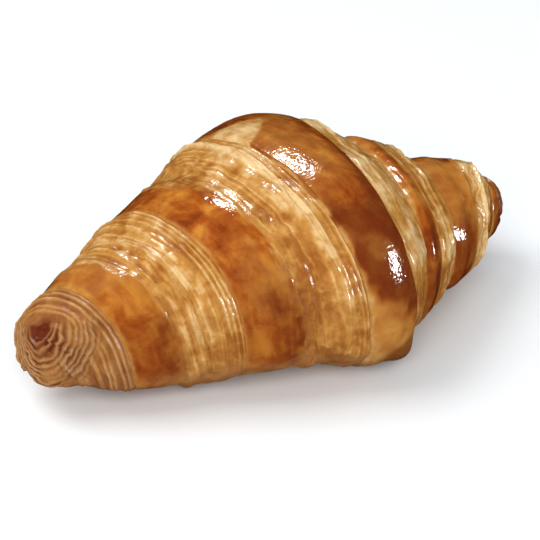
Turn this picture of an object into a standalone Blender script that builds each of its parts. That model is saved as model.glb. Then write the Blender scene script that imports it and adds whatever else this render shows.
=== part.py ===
"""A mini butter croissant, modelled the way it is made: one long triangle of laminated dough, rolled up.

The roll lies along X with its big blunt tip at -X, and rests on Z = 0. The two long edges of the triangle
run round the roll as two helices, one towards each tip. Both start at the point of the triangle, which is
tucked under the belly. From one turn of a helix to the next, the surface first falls down the layered side
wall of the inner wrap, meets the next wrap in a crease, and rises over that wrap's back to its own edge.

Sizes are in millimetres, and the mesh is scaled to metres at the end.
"""

import math

import bmesh
import bpy
import numpy as np

MM = 0.001

# The envelope: for each station along X, the half width, half height and height of the middle of the roll.
STATIONS = np.array(
    [
        (-47.2, 6.7, 6.4, 10.0),
        (-42.0, 7.0, 6.9, 11.6),
        (-34.0, 10.6, 10.6, 12.6),
        (-22.0, 15.6, 13.8, 14.2),
        (-8.0, 21.6, 16.6, 16.8),
        (8.0, 25.4, 17.8, 16.2),
        (22.0, 17.8, 12.7, 14.6),
        (34.0, 10.9, 8.9, 12.6),
        (41.0, 7.5, 7.3, 12.8),
        (45.6, 5.0, 4.3, 12.4),
    ]
)
LEFT_TIP, RIGHT_TIP = STATIONS[0, 0], STATIONS[-1, 0]
LEFT_BLUNT, RIGHT_BLUNT = 26, 10  # exponents: a higher one gives a flatter end face
SQUARENESS = 2.25  # superellipse exponent of a cross-section, where 2 is an ellipse
FLOOR_BLEND = 0.4  # half height of the curve where the belly meets its flat underside

# The helices: turns from the point of the triangle, and where each edge lies along X there.
POINT_X = 7.8
SEAM_ANGLE = math.radians(-95.0)  # 0 faces -Y and 90 faces up, so turn 0 is under the belly
TURNS = 3
KNOT_TURNS = (0.0, 0.1, 0.43, 0.77, 1.1, 1.43, 1.77, 2.1, 2.43, 2.77, 3.0)
LEFT_EDGE = (POINT_X, 5.2, -0.4, -8.6, -14.6, -19.6, -28.4, -31.4, -37.2, -44.0, LEFT_TIP)
RIGHT_EDGE = (POINT_X, 11.2, 10.4, 13.2, 18.2, 22.0, 26.4, 30.4, 34.9, 41.6, RIGHT_TIP)

# Relief over the envelope, from one turn of an edge to the next. The crease's share of the way there changes
# along the roll, so it has knots at the turns given.
PUFF = 0.8
CREASE_DEPTH = 0.7
EDGE_STEP = 0.2  # the edge of the wrap's skin over its side wall
EDGE_STEP_WIDTH = 0.06
BACK_RISE = 0.5  # share of a wrap's back over which it rises from the crease
CREASE_TURNS = (0.0, 0.5, 1.0, 1.5, 2.0, 2.5, 3.0)
LEFT_CREASE = (0.44, 0.41, 0.48, 0.47, 0.52, 0.62, 0.70)
RIGHT_CREASE = (0.45, 0.70, 0.52, 0.40, 0.43, 0.45, 0.50)
SLIM_RADIUS = 6.0  # where the roll is thinner than this, the relief shrinks with it
PRESSED = 0.8  # share of the relief that is pressed flat at the base of the left half

PROFILE_SAMPLES = 2000
WELD = 0.02
COLUMNS = 72  # in one turn
ROWS = (0.0, 0.035, 0.19, 0.34, 0.45, 0.5, 0.56, 0.66, 0.82, 1.0)  # the crease is at 0.5

CRUST_COLOUR = (0.40, 0.13, 0.028, 1.0)
CRUST_ROUGHNESS = 0.38


def smoothstep(low, high, value):
    """0 below low, 1 above high, and a smooth rise between."""
    share = np.clip((value - low) / (high - low), 0.0, 1.0)
    return share * share * (3.0 - 2.0 * share)


def smooth_curve(knots, values, at):
    """A smooth curve through the knots (cubic Hermite, slopes from the neighbours)."""
    knots, values = np.asarray(knots, float), np.asarray(values, float)
    slopes = np.gradient(values, knots)
    i = np.clip(np.searchsorted(knots, at, side="right") - 1, 0, len(knots) - 2)
    gap = knots[i + 1] - knots[i]
    u = np.clip((at - knots[i]) / gap, 0.0, 1.0)
    return (
        (2 * u**3 - 3 * u**2 + 1) * values[i]
        + (u**3 - 2 * u**2 + u) * gap * slopes[i]
        + (3 * u**2 - 2 * u**3) * values[i + 1]
        + (u**3 - u**2) * gap * slopes[i + 1]
    )


def envelope(x):
    """Half width, half height and middle height of the roll at x, closed at both tips."""
    share = np.where(x < 0, x / LEFT_TIP, x / RIGHT_TIP)
    blunt = np.where(x < 0, LEFT_BLUNT, RIGHT_BLUNT)
    closing = np.sqrt(np.clip(1.0 - np.clip(share, 0.0, 1.0) ** blunt, 0.0, 1.0))
    half_width, half_height, middle = (
        smooth_curve(STATIONS[:, 0], STATIONS[:, k], x) for k in (1, 2, 3)
    )
    return half_width * closing, half_height * closing, middle


def on_roll(x, angle, relief):
    """Points of the crust, relief millimetres out from the envelope, flattened where they meet the floor."""
    half_width, half_height, middle = envelope(x)
    power = 2.0 / SQUARENESS
    across = np.sign(np.cos(angle)) * np.abs(np.cos(angle)) ** power
    upward = np.sign(np.sin(angle)) * np.abs(np.sin(angle)) ** power
    relief = relief * np.clip(half_width / SLIM_RADIUS, 0.0, 1.0)
    y = -(half_width + relief) * across
    z = middle + (half_height + relief) * upward
    rounded = (z + FLOOR_BLEND) ** 2 / (4 * FLOOR_BLEND)
    z = np.where(z > FLOOR_BLEND, z, np.where(z > -FLOOR_BLEND, rounded, 0.0))
    return np.stack(np.broadcast_arrays(x, y, z), axis=-1)


def edge_x(side, turns):
    """Where the dough's edge lies along X, for the side -1 or 1, after so many turns."""
    edge = LEFT_EDGE if side < 0 else RIGHT_EDGE
    return smooth_curve(KNOT_TURNS, edge, np.clip(turns, 0.0, TURNS))


def sunk(turns, share, crease_share):
    """How far the surface has sunk at a share of the way to the next turn: 0 on an edge, 1 in the crease."""
    wall = (share / crease_share) ** 1.5
    back = 1.0 - smoothstep(0.0, BACK_RISE, (share - crease_share) / (1.0 - crease_share)) ** 0.7
    starting = smoothstep(0.0, 0.09, turns)
    return starting * np.where(share < crease_share, wall, back)


def profile_lengths():
    """Samples of X and the length of the roll's profile up to each, which spaces rows over the end faces."""
    angle = np.linspace(-math.pi / 2, math.pi / 2, PROFILE_SAMPLES)
    x = np.where(angle < 0, -LEFT_TIP, RIGHT_TIP) * np.sin(angle)
    half_width = envelope(x)[0]
    steps = np.hypot(np.diff(x), np.diff(half_width))
    return x, np.concatenate([[0.0], np.cumsum(steps)])


def ribbon_points(side, turns, row):
    """Where a side's band lies, after so many turns and at a row: 0 at its inner edge, 1 at its outer edge.

    In the turn before 0, the visible end of the dough, the inner edge is the line that both sides share.
    """
    inner = np.where(turns < 0, POINT_X, edge_x(side, turns))
    outer = edge_x(side, turns + 1.0)
    crease_share = np.interp(turns, CREASE_TURNS, LEFT_CREASE if side < 0 else RIGHT_CREASE)
    share = np.where(row < 0.5, 2 * row * crease_share, 1.0 - 2 * (1.0 - row) * (1.0 - crease_share))
    x_samples, lengths = profile_lengths()
    start, end = np.interp(inner, x_samples, lengths), np.interp(outer, x_samples, lengths)
    x = np.interp(start + (end - start) * share, lengths, x_samples)
    relief = PUFF - (PUFF + CREASE_DEPTH) * sunk(turns, share, crease_share)
    step = smoothstep(0.0, 0.09, turns) * smoothstep(0.0, EDGE_STEP_WIDTH, row)
    relief = relief - EDGE_STEP * step * (1.0 - smoothstep(EDGE_STEP_WIDTH, 0.5, row))
    angle = SEAM_ANGLE + 2.0 * math.pi * turns
    near_base = (1.0 - smoothstep(-0.95, -0.3, np.sin(angle))) * (1.0 - smoothstep(-6.0, 6.0, x))
    return on_roll(x, angle, relief * (1.0 - PRESSED * near_base))


def add_ribbon(mesh, side):
    """Adds a flat grid and wraps it round the roll as one side's band, from the dough's point to the tip."""
    columns, rows = (TURNS + 1) * COLUMNS, len(ROWS) - 1
    grid = bmesh.ops.create_grid(mesh, x_segments=columns, y_segments=rows, size=1.0)["verts"]
    flat = np.array([v.co for v in grid])
    turns = np.round((flat[:, 0] + 1.0) / 2.0 * columns) / COLUMNS - 1.0
    row = np.asarray(ROWS)[np.round((flat[:, 1] + 1.0) / 2.0 * rows).astype(int)]
    for vertex, point in zip(grid, ribbon_points(side, turns, row) * MM):
        vertex.co = point


def rolled_dough():
    """The croissant's mesh, in metres: both ribbons, welded to each other and along every edge they share."""
    mesh = bmesh.new()
    for side in (-1, 1):
        add_ribbon(mesh, side)
    bmesh.ops.remove_doubles(mesh, verts=mesh.verts, dist=WELD * MM)
    bmesh.ops.dissolve_degenerate(mesh, edges=mesh.edges, dist=WELD * MM)
    bmesh.ops.triangulate(mesh, faces=mesh.faces)
    bmesh.ops.recalc_face_normals(mesh, faces=mesh.faces)
    return mesh


def centred(mesh):
    """Moves the mesh so that the middle of its footprint is at the origin and its lowest point at Z = 0."""
    points = np.array([v.co for v in mesh.verts])
    low, high = points.min(axis=0), points.max(axis=0)
    middle = (low + high) / 2.0
    bmesh.ops.translate(mesh, vec=(-middle[0], -middle[1], -low[2]), verts=mesh.verts)
    return mesh


def crust_material():
    """Baked, egg-washed dough."""
    material = bpy.data.materials.new("crust")
    material.use_nodes = True
    shader = material.node_tree.nodes["Principled BSDF"]
    shader.inputs["Base Color"].default_value = CRUST_COLOUR
    shader.inputs["Roughness"].default_value = CRUST_ROUGHNESS
    shader.inputs["Metallic"].default_value = 0.0
    return material


def clear_scene():
    """Removes what the scene holds."""
    for old in list(bpy.data.objects):
        bpy.data.objects.remove(old, do_unlink=True)


def build():
    """Makes the croissant as one closed object."""
    clear_scene()
    collection = bpy.data.collections.new("croissant")
    bpy.context.scene.collection.children.link(collection)
    dough = centred(rolled_dough())
    mesh = bpy.data.meshes.new("croissant")
    dough.to_mesh(mesh)
    dough.free()
    mesh.shade_smooth()
    mesh.materials.append(crust_material())
    collection.objects.link(bpy.data.objects.new("croissant", mesh))


build()
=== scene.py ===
"""Dresses a mini butter croissant: the rolled, laminated dough with its baked and egg-washed crust.

The dough is one long triangle, rolled up. Its two long edges run round the roll as helices, one towards each
tip, and start at the triangle's point under the belly. From one turn of an edge to the next, the surface
falls down the layered side wall of the inner wrap, meets the next wrap in a crease and rises over its back.

Lengths are in millimetres until a mesh is made, and metres from there on.
"""

import logging
import math
from dataclasses import dataclass, field
from enum import Enum

import bpy
import numpy as np
from mathutils import Matrix, Vector


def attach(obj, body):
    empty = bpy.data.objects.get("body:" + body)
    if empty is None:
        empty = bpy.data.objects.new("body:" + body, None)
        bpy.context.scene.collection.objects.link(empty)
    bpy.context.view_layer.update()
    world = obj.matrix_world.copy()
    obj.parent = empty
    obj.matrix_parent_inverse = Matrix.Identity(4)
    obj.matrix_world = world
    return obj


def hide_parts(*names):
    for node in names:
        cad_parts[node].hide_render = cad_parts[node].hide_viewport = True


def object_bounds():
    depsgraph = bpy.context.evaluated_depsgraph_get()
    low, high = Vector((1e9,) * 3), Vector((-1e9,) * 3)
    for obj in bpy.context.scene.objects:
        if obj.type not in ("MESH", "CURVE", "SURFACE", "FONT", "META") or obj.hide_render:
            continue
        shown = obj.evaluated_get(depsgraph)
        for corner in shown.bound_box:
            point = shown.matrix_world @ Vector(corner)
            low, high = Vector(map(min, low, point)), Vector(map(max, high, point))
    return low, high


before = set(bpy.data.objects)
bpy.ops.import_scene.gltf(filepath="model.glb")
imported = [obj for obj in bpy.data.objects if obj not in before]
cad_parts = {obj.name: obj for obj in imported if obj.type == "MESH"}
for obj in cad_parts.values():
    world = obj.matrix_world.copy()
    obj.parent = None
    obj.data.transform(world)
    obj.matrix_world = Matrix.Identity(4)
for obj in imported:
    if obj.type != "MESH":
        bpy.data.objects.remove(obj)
CAD_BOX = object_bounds()

log = logging.getLogger("croissant")

MM = 0.001
BODY = "root"
NODE = "croissant"

Array = np.ndarray
Tree = bpy.types.NodeTree
Socket = bpy.types.NodeSocket
Sockets = dict[str, Socket]
Stops = tuple[tuple[float, str], ...]


class Side(Enum):
    """Which way a wrap's edge runs along X."""

    LEFT = -1
    RIGHT = 1


def smoothstep(low: float, high: float, value: Array) -> Array:
    """Rises smoothly from 0 below low to 1 above high."""
    share = np.clip((value - low) / (high - low), 0.0, 1.0)
    return share * share * (3.0 - 2.0 * share)


def smooth_curve(knots: Array, values: Array, at: Array) -> Array:
    """Reads a smooth curve through the knots.

    Args:
        knots: Where the values are given, in rising order.
        values: One value for each knot.
        at: Where to read the curve.

    Returns:
        The curve's values, from a cubic whose slopes come from the neighbouring knots.
    """
    knots, values = np.asarray(knots, float), np.asarray(values, float)
    slopes = np.gradient(values, knots)
    i = np.clip(np.searchsorted(knots, at, side="right") - 1, 0, len(knots) - 2)
    gap = knots[i + 1] - knots[i]
    u = np.clip((at - knots[i]) / gap, 0.0, 1.0)
    return (
        (2 * u**3 - 3 * u**2 + 1) * values[i]
        + (u**3 - 2 * u**2 + u) * gap * slopes[i]
        + (3 * u**2 - 2 * u**3) * values[i + 1]
        + (u**3 - u**2) * gap * slopes[i + 1]
    )


def lattice(corner: Array, seed: int) -> Array:
    """Gives each whole-numbered lattice corner its own fixed number, by an integer hash of large primes.

    Args:
        corner: Integer coordinates, shape (..., 3).
        seed: Picks one of many unrelated lattices.

    Returns:
        Numbers from 0 to 1, shape (...).
    """
    c = corner.astype(np.int64).astype(np.uint32)
    n = c[..., 0] * np.uint32(374761393) + c[..., 1] * np.uint32(668265263)
    n = n + c[..., 2] * np.uint32(2246822519) + np.uint32((seed * 3266489917) % 2**32)
    n = (n ^ (n >> np.uint32(15))) * np.uint32(2654435761)
    n = (n ^ (n >> np.uint32(13))) * np.uint32(1274126177)
    return (n ^ (n >> np.uint32(16))).astype(float) / float(2**32)


def drift(points: Array, size: float, seed: int, octaves: int = 1) -> Array:
    """Smooth value noise.

    Args:
        points: Where to read it, shape (..., 3), in millimetres.
        size: The largest lump's width in millimetres.
        seed: Picks the pattern.
        octaves: How many finer layers to add, each at half the size and half the strength.

    Returns:
        Values around 0, roughly from -1 to 1.
    """
    total, strength, norm = 0.0, 1.0, 0.0
    for octave in range(octaves):
        p = points / size * 2**octave
        cell = np.floor(p)
        f = p - cell
        f = f * f * f * (f * (f * 6.0 - 15.0) + 10.0)
        value = 0.0
        for k in range(8):
            step = np.array([k & 1, (k >> 1) & 1, (k >> 2) & 1])
            weight = np.prod(np.where(step == 1, f, 1.0 - f), axis=-1)
            value = value + weight * lattice(cell + step, seed + 31 * octave)
        total = total + strength * (2.0 * value - 1.0)
        norm += strength
        strength *= 0.5
    return total / norm * 1.4


def blisters(points: Array, size: float, seed: int) -> Array:
    """Round bubbles under the skin.

    Args:
        points: Where to read them, shape (..., 3), in millimetres.
        size: The spacing of the bubbles in millimetres.
        seed: Picks the pattern.

    Returns:
        1 at the middle of a bubble, down to 0 between bubbles.
    """
    p = points / size
    cell = np.floor(p)
    nearest = np.full(p.shape[:-1], 9.0)
    for k in range(27):
        step = np.array([k % 3 - 1, (k // 3) % 3 - 1, k // 9 - 1])
        corner = cell + step
        jitter = np.stack([lattice(corner, seed + n) for n in range(3)], axis=-1)
        nearest = np.minimum(nearest, np.linalg.norm(corner + 0.2 + 0.6 * jitter - p, axis=-1))
    return np.clip(1.0 - nearest / 0.75, 0.0, 1.0) ** 0.8


def hem_noise(points: Array, height: Array, seed: int) -> Array:
    """How far the lower edge spreads on the tray in flakes: 0 to 1, and 0 higher up."""
    spread = np.clip(drift(points, 3.0, seed + 90, 2) + 0.2, 0.0, 1.0)
    return spread * np.exp(-((height / 1.6) ** 2))


@dataclass(frozen=True)
class Roll:
    """The roll's envelope and the helices of the dough's edges, as the solid has them. Millimetres.

    Each station is X, half width, half height and the height of the middle. Angle 0 faces -Y and 90 degrees
    faces up. Turns count from the triangle's point, under the belly.
    """

    stations: tuple = (
        (-47.2, 6.7, 6.4, 10.0),
        (-42.0, 7.0, 6.9, 11.6),
        (-34.0, 10.6, 10.6, 12.6),
        (-22.0, 15.6, 13.8, 14.2),
        (-8.0, 21.6, 16.6, 16.8),
        (8.0, 25.4, 17.8, 16.2),
        (22.0, 17.8, 12.7, 14.6),
        (34.0, 10.9, 8.9, 12.6),
        (41.0, 7.5, 7.3, 12.8),
        (45.6, 5.0, 4.3, 12.4),
    )
    left_blunt: float = 26.0
    right_blunt: float = 10.0
    squareness: float = 2.25
    floor_blend: float = 0.4
    seam_angle: float = math.radians(-95.0)
    point_x: float = 7.8
    heart_height: float = 16.0
    turns: int = 3
    knot_turns: tuple = (0.0, 0.1, 0.43, 0.77, 1.1, 1.43, 1.77, 2.1, 2.43, 2.77, 3.0)
    left_edge: tuple = (7.8, 5.2, -0.4, -8.6, -14.6, -19.6, -28.4, -31.4, -37.2, -44.0, -47.2)
    right_edge: tuple = (7.8, 11.2, 10.4, 13.2, 18.2, 22.0, 26.4, 30.4, 34.9, 41.6, 45.6)
    crease_turns: tuple = (0.0, 0.5, 1.0, 1.5, 2.0, 2.5, 3.0)
    left_crease: tuple = (0.44, 0.41, 0.48, 0.47, 0.52, 0.62, 0.70)
    right_crease: tuple = (0.45, 0.70, 0.52, 0.40, 0.43, 0.45, 0.50)
    puff: float = 0.8
    crease_depth: float = 0.7
    back_rise: float = 0.5
    slim_radius: float = 6.0
    pressed: float = 0.8
    profile_samples: int = 2000

    def tip(self, side: Side) -> float:
        """X of the end of the roll on a side."""
        return self.stations[0][0] if side is Side.LEFT else self.stations[-1][0]

    def tip_point(self, side: Side) -> Array:
        """The foremost point of the end of the roll on a side."""
        return self.place(np.array(self.tip(side)), np.array(0.0), np.array(0.0))

    def heart(self) -> Array:
        """A point deep inside the roll, under the centre flap."""
        return np.array([self.point_x, 0.0, self.heart_height]) + self.shift()

    def shift(self) -> Array:
        """From the dough's own X to the frame's, whose origin is the middle of the footprint."""
        return np.array([CAD_BOX[0][0] / MM - self.tip(Side.LEFT), 0.0, 0.0])

    def angle(self, turns: Array) -> Array:
        """The direction round the roll after so many turns, in radians."""
        return self.seam_angle + 2.0 * math.pi * turns

    def envelope(self, x: Array) -> tuple[Array, Array, Array]:
        """Reads the envelope, which closes at both tips.

        Args:
            x: Along the roll.

        Returns:
            The half width, the half height and the height of the middle.
        """
        table = np.array(self.stations)
        share = np.where(x < 0, x / self.tip(Side.LEFT), x / self.tip(Side.RIGHT))
        blunt = np.where(x < 0, self.left_blunt, self.right_blunt)
        closing = np.sqrt(np.clip(1.0 - np.clip(share, 0.0, 1.0) ** blunt, 0.0, 1.0))
        width, height, middle = (smooth_curve(table[:, 0], table[:, k], x) for k in (1, 2, 3))
        return width * closing, height * closing, middle

    def place(self, x: Array, angle: Array, relief: Array) -> Array:
        """Finds points of the crust.

        Args:
            x: Along the roll.
            angle: Round the roll, in radians.
            relief: How far out from the envelope.

        Returns:
            Positions in the frame of the solid, shape (..., 3).
        """
        width, height, middle = self.envelope(x)
        power = 2.0 / self.squareness
        across = np.sign(np.cos(angle)) * np.abs(np.cos(angle)) ** power
        upward = np.sign(np.sin(angle)) * np.abs(np.sin(angle)) ** power
        relief = relief * np.clip(width / self.slim_radius, 0.0, 1.0)
        y = -(width + relief) * across
        z = self.on_floor(middle + (height + relief) * upward)
        return np.stack(np.broadcast_arrays(x, y, z), axis=-1) + self.shift()

    def on_floor(self, z: Array) -> Array:
        """Presses heights below the floor flat, with a soft bend into it."""
        k = self.floor_blend
        return np.where(z > k, z, np.where(z > -k, (z + k) ** 2 / (4 * k), 0.0))

    def unpressed(self, x: Array, angle: Array) -> Array:
        """The share of the relief that is left where the roll's own weight presses its left half flat."""
        near_base = (1.0 - smoothstep(-0.95, -0.3, np.sin(angle))) * (1.0 - smoothstep(-6.0, 6.0, x))
        return 1.0 - self.pressed * near_base

    def edge_x(self, side: Side, turns: Array) -> Array:
        """X of the dough's edge after so many turns."""
        edge = self.left_edge if side is Side.LEFT else self.right_edge
        return smooth_curve(self.knot_turns, edge, np.clip(turns, 0.0, self.turns))

    def crease_share(self, side: Side, turns: Array) -> Array:
        """Where the crease lies, as a share of the way from one turn of the edge to the next."""
        crease = self.left_crease if side is Side.LEFT else self.right_crease
        return np.interp(turns, self.crease_turns, crease)

    def along_profile(self, start: Array, end: Array, share: Array) -> Array:
        """Measures along the roll's profile, which keeps the spacing of the points even over the end faces.

        Args:
            start: X where the way begins.
            end: X where it ends.
            share: How much of the way to go.

        Returns:
            X at that share of the way.
        """
        angle = np.linspace(-math.pi / 2, math.pi / 2, self.profile_samples)
        x = np.where(angle < 0, -self.tip(Side.LEFT), self.tip(Side.RIGHT)) * np.sin(angle)
        steps = np.hypot(np.diff(x), np.diff(self.envelope(x)[0]))
        lengths = np.concatenate([[0.0], np.cumsum(steps)])
        low, high = np.interp(start, x, lengths), np.interp(end, x, lengths)
        return np.interp(low + (high - low) * share, lengths, x)


@dataclass
class Skin:
    """A surface under construction: points in millimetres, faces and values on the points."""

    points: Array
    quads: Array
    values: dict[str, Array] = field(default_factory=dict)
    caps: list[tuple[int, ...]] = field(default_factory=list)
    sharp_angle: float = math.radians(75.0)

    def normals(self) -> Array:
        """Averages the directions of the faces round each point.

        Returns:
            Outward directions at the points, shape (..., 3).
        """
        p = self.points[self.quads]
        face = np.cross(p[:, 2] - p[:, 0], p[:, 3] - p[:, 1])
        total = np.zeros_like(self.points)
        for k in range(4):
            np.add.at(total, self.quads[:, k], face)
        length = np.linalg.norm(total, axis=1, keepdims=True)
        return total / np.maximum(length, 1e-12)

    def swell(self, relief: Array, hem: Array) -> None:
        """Moves the points outward, and nowhere below the tray.

        Args:
            relief: How far each point moves along its normal.
            hem: How far it then spreads over the tray.
        """
        normals = self.normals()
        self.points = self.points + normals * relief[:, None]
        self.points[:, :2] += normals[:, :2] * hem[:, None]
        self.points[:, 2] = np.maximum(self.points[:, 2], 0.0)

    def make(self, name: str, material: bpy.types.Material) -> bpy.types.Object:
        """Turns the surface into a piece that rides on the croissant's body.

        Args:
            name: The piece's name.
            material: Its finish.

        Returns:
            The new object, closed and shaded smooth.
        """
        faces = [tuple(int(k) for k in dict.fromkeys(q)) for q in self.quads.tolist()]
        faces = [f for f in faces if len(f) > 2] + list(self.caps)
        mesh = bpy.data.meshes.new(name)
        mesh.from_pydata((self.points * MM).tolist(), [], faces)
        mesh.shade_smooth()
        mesh.set_sharp_from_angle(angle=self.sharp_angle)
        for title, data in self.values.items():
            kind, key = ("FLOAT_VECTOR", "vector") if data.ndim == 2 else ("FLOAT", "value")
            layer = mesh.attributes.new(title, kind, "POINT")
            layer.data.foreach_set(key, data.astype(np.float32).ravel())
        mesh.materials.append(material)
        piece = bpy.data.objects.new(name, mesh)
        bpy.context.scene.collection.objects.link(piece)
        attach(piece, BODY)
        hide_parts(NODE)
        return piece


def linear(code: str) -> tuple[float, float, float, float]:
    """Turns an sRGB colour into the linear one that shaders use.

    Args:
        code: The colour as a hex code.

    Returns:
        Red, green, blue and an alpha of 1.
    """
    parts = [int(code[k : k + 2], 16) / 255.0 for k in (1, 3, 5)]
    bent = [c / 12.92 if c <= 0.04045 else ((c + 0.055) / 1.055) ** 2.4 for c in parts]
    return (*bent, 1.0)


def per_metre(size_mm: float) -> float:
    """How often a pattern of a real size repeats in the metre that the coordinates are in."""
    return 1.0 / (size_mm * MM)


def add_node(tree: Tree, kind: str, values: dict | None = None, stops: Stops = ()) -> bpy.types.Node:
    """Adds one node with its settings and links.

    Args:
        tree: The material's node tree.
        kind: The node's type name, without its first word ShaderNode.
        values: Settings by name, and inputs by name or number. A socket is linked, and anything else is set.
        stops: A colour ramp's positions and sRGB hex codes.

    Returns:
        The new node.
    """
    node = tree.nodes.new("ShaderNode" + kind)
    for key, value in (values or {}).items():
        if isinstance(value, Socket):
            tree.links.new(value, node.inputs[key])
        elif isinstance(key, str) and hasattr(node, key):
            setattr(node, key, value)
        else:
            node.inputs[key].default_value = value
    for number, (position, code) in enumerate(stops):
        elements = node.color_ramp.elements
        element = elements[number] if number < len(elements) else elements.new(1.0)
        element.position, element.color = position, linear(code)
    return node


@dataclass(frozen=True)
class BakedCrust:
    """Baked laminated dough with an egg wash.

    The wash browns to a thin hard glaze, so the backs of the wraps are deep amber, mottled where the heat
    was uneven, and glossy. The walls that opened in the oven had no wash: they stay cream and satin, with
    the fine lines of the layers. Near the base the crust is matte and evenly brown.

    Each pattern has its real size in millimetres. The layers and the pinhead blisters are finer than a pixel
    in the real dough, so both are drawn a few times as coarse, as streaks and pits that show.
    """

    name: str = "egg_washed_laminated_dough"
    wash: Stops = ((0.38, "#7e360f"), (0.49, "#a0521a"), (0.61, "#c47e2e"))
    amber: Stops = ((0.35, "#aa6a2c"), (0.65, "#bf843c"))
    layers: Stops = ((0.12, "#985820"), (0.45, "#bd863f"), (0.85, "#e2bf88"))
    base: Stops = ((0.3, "#834d22"), (0.5, "#9f6837"), (0.72, "#b48246"))
    scorch_and_shade_brown: str = "#682910"
    ior: float = 1.45
    specular: float = 0.32
    base_specular: float = 0.16
    wash_roughness: float = 0.1
    layer_roughness: float = 0.22
    base_roughness: float = 0.6
    glow: float = 0.1
    glow_mm: float = 1.2
    glow_reach: tuple[float, float, float] = (1.0, 0.5, 0.2)
    mottle_mm: float = 6.0
    wash_streak_mm: tuple[float, float] = (6.0, 2.4)
    amber_patch_mm: float = 2.5
    base_patch_mm: float = 4.0
    layer_streak_mm: tuple[float, float] = (5.0, 0.7)
    layer_grain_mm: float = 1.6
    blister_mm: float = 0.55
    blister_depth: float = 0.0001
    grain_mm: float = 1.1
    crease_mm: tuple[float, float] = (6.0, 0.8)
    crease_depth: float = 0.0003

    def make(self) -> bpy.types.Material:
        """Builds the material.

        Returns:
            The finish, which reads the values on each piece's points.
        """
        material = bpy.data.materials.new(self.name)
        material.use_nodes = True
        tree = material.node_tree
        names = ("brown", "base", "dark", "layer")
        read = {n: add_node(tree, "Attribute", {"attribute_name": n}).outputs["Fac"] for n in names}
        read["wrap"] = add_node(tree, "Attribute", {"attribute_name": "wrap"}).outputs["Vector"]
        read["solid"] = add_node(tree, "TexCoord").outputs["Object"]
        shader = tree.nodes["Principled BSDF"]
        constants = {
            "IOR": self.ior,
            "Subsurface Weight": self.glow,
            "Subsurface Radius": self.glow_reach,
            "Subsurface Scale": self.glow_mm * MM,
        }
        for title, value in constants.items():
            shader.inputs[title].default_value = value
        varied = {
            "Base Color": self.colour(tree, read),
            "Specular IOR Level": self.sheen(tree, read),
            "Roughness": self.roughness(tree, read),
            "Normal": self.relief(tree, read),
        }
        for title, socket in varied.items():
            tree.links.new(socket, shader.inputs[title])
        return material

    def colour(self, tree: Tree, read: Sockets) -> Socket:
        """Lays amber, the full wash, the base's brown and a dark brown over the open layers.

        The dark brown draws burnt lines and patches, and also painted shade.

        Args:
            tree: The material's node tree.
            read: The sockets of the values on the points and of the coordinates.

        Returns:
            The colour's socket.
        """
        brown = read["brown"]
        halfway = add_node(tree, "MapRange", {"Value": brown, "From Max": 0.5}).outputs[0]
        beyond = add_node(tree, "MapRange", {"Value": brown, "From Min": 0.4}).outputs[0]
        covers = (
            (halfway, self.patchy(tree, read, self.amber_patch_mm, self.amber)),
            (beyond, self.wash_colour(tree, read)),
            (read["base"], self.patchy(tree, read, self.base_patch_mm, self.base)),
            # dark brown where the pieces ask for it: burnt crust, and also painted shade
            (read["dark"], linear(self.scorch_and_shade_brown)),
        )
        skin = self.layer_colour(tree, read)
        for share, cover in covers:
            mixed = add_node(tree, "Mix", {"data_type": "RGBA", 0: share, 6: skin, 7: cover})
            skin = mixed.outputs[2]
        return skin

    def patchy(self, tree: Tree, read: Sockets, size_mm: float, stops: Stops) -> Socket:
        """Draws one colour's shades in soft patches.

        Args:
            tree: The material's node tree.
            read: The sockets of the values on the points and of the coordinates.
            size_mm: The patches' real size.
            stops: The shades.

        Returns:
            The colour's socket.
        """
        patches = {"Vector": read["solid"], "Scale": per_metre(size_mm), "Detail": 4.0}
        tone = add_node(tree, "TexNoise", patches).outputs["Fac"]
        return add_node(tree, "ValToRGB", {"Fac": tone}, stops).outputs["Color"]

    def streaks(self, tree: Tree, read: Sockets, size_mm: tuple[float, float], detail: float) -> Socket:
        """Draws a noise out along the wrap.

        Args:
            tree: The material's node tree.
            read: The sockets of the values on the points and of the coordinates.
            size_mm: The streaks' length and width.
            detail: How many finer layers the noise has.

        Returns:
            The noise's socket.
        """
        length, width = size_mm
        drawn_out = {"Vector": read["wrap"], "Scale": (1.0 / length, 1.0 / width, 1.0)}
        stretched = add_node(tree, "Mapping", drawn_out).outputs["Vector"]
        noise = add_node(tree, "TexNoise", {"Vector": stretched, "Scale": 1.0, "Detail": detail})
        return noise.outputs["Fac"]

    def wash_colour(self, tree: Tree, read: Sockets) -> Socket:
        """Colours the wash in amber to dark brown patches, as wide as the oven's heat left them.

        Args:
            tree: The material's node tree.
            read: The sockets of the values on the points and of the coordinates.

        Returns:
            The colour's socket.
        """
        patches = {"Vector": read["solid"], "Scale": per_metre(self.mottle_mm), "Detail": 7.0}
        mottle = add_node(tree, "TexNoise", patches | {"Distortion": 0.5, "Roughness": 0.62}).outputs["Fac"]
        streak = self.streaks(tree, read, self.wash_streak_mm, 3.0)
        mixed = add_node(tree, "Mix", {0: 0.3, 2: mottle, 3: streak}).outputs[0]
        return add_node(tree, "ValToRGB", {"Fac": mixed}, self.wash).outputs["Color"]

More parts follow.
